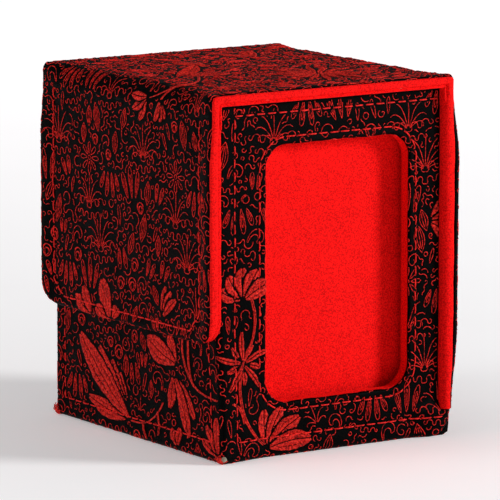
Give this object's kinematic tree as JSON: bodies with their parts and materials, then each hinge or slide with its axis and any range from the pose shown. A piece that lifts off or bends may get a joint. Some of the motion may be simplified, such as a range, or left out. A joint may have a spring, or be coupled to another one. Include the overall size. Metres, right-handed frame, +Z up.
{
  "type": "card deck box",
  "caption": "Cloth-covered deck box for trading cards: a windowed front with a display slot, a lid hinged on one side and a flap that closes over the other.",
  "frame": {"origin": "middle of the resting face, on the surface the box stands on", "axes": "+Z up; the window looks along -Y; the hinge wall is on +X and the flap on -X"},
  "size_m": [0.083, 0.091, 0.105],
  "materials": {
    "brocade": "black satin brocade with raised red thread",
    "lining": "red microfibre suede",
    "greyboard": "pressed grey paperboard",
    "thread": "red polyester sewing thread",
    "magnet": "nickel-plated disc magnet"
  },
  "bodies": {
    "box": {"bottom_board": "greyboard", "bottom_cloth": "brocade", "bottom_lining": "lining", "left_wall_board": "greyboard", "left_wall_cloth": "brocade", "left_wall_lining": "lining", "left_wall_stitches": "thread", "wall_magnets": "magnet", "back_wall_board": "greyboard", "back_wall_cloth": "brocade", "back_wall_lining": "lining", "back_edge_stitches": "thread", "front_wall_board": "greyboard", "front_wall_cloth": "brocade", "front_wall_lining": "lining", "front_edge_stitches": "thread", "window_stitches": "thread", "display_board": "greyboard", "display_lining": "lining", "hinge_wall_board": "greyboard", "hinge_wall_cloth": "brocade", "hinge_wall_lining": "lining"},
    "lid": {"lid_board": "greyboard", "lid_cloth": "brocade", "lid_lining": "lining", "lid_fold_cloth": "brocade", "lid_fold_lining": "lining"},
    "flap": {"flap_board": "greyboard", "flap_cloth": "brocade", "flap_lining": "lining", "flap_stitches": "thread", "flap_magnets": "magnet", "flap_fold_cloth": "brocade", "flap_fold_lining": "lining"}
  },
  "joints": [
    {"name": "lid_hinge", "type": "hinge", "parent": "box", "child": "lid", "pos_m": [0.04, 0, 0.1035], "axis": [0, 1, 0], "range_deg": [0, 180], "deforming": ["lid_fold_cloth", "lid_fold_lining"]},
    {"name": "flap_hinge", "type": "hinge", "parent": "lid", "child": "flap", "pos_m": [-0.0391, 0, 0.1026], "axis": [0, 1, 0], "range_deg": [0, 180], "deforming": ["flap_fold_cloth", "flap_fold_lining"]}
  ]
}
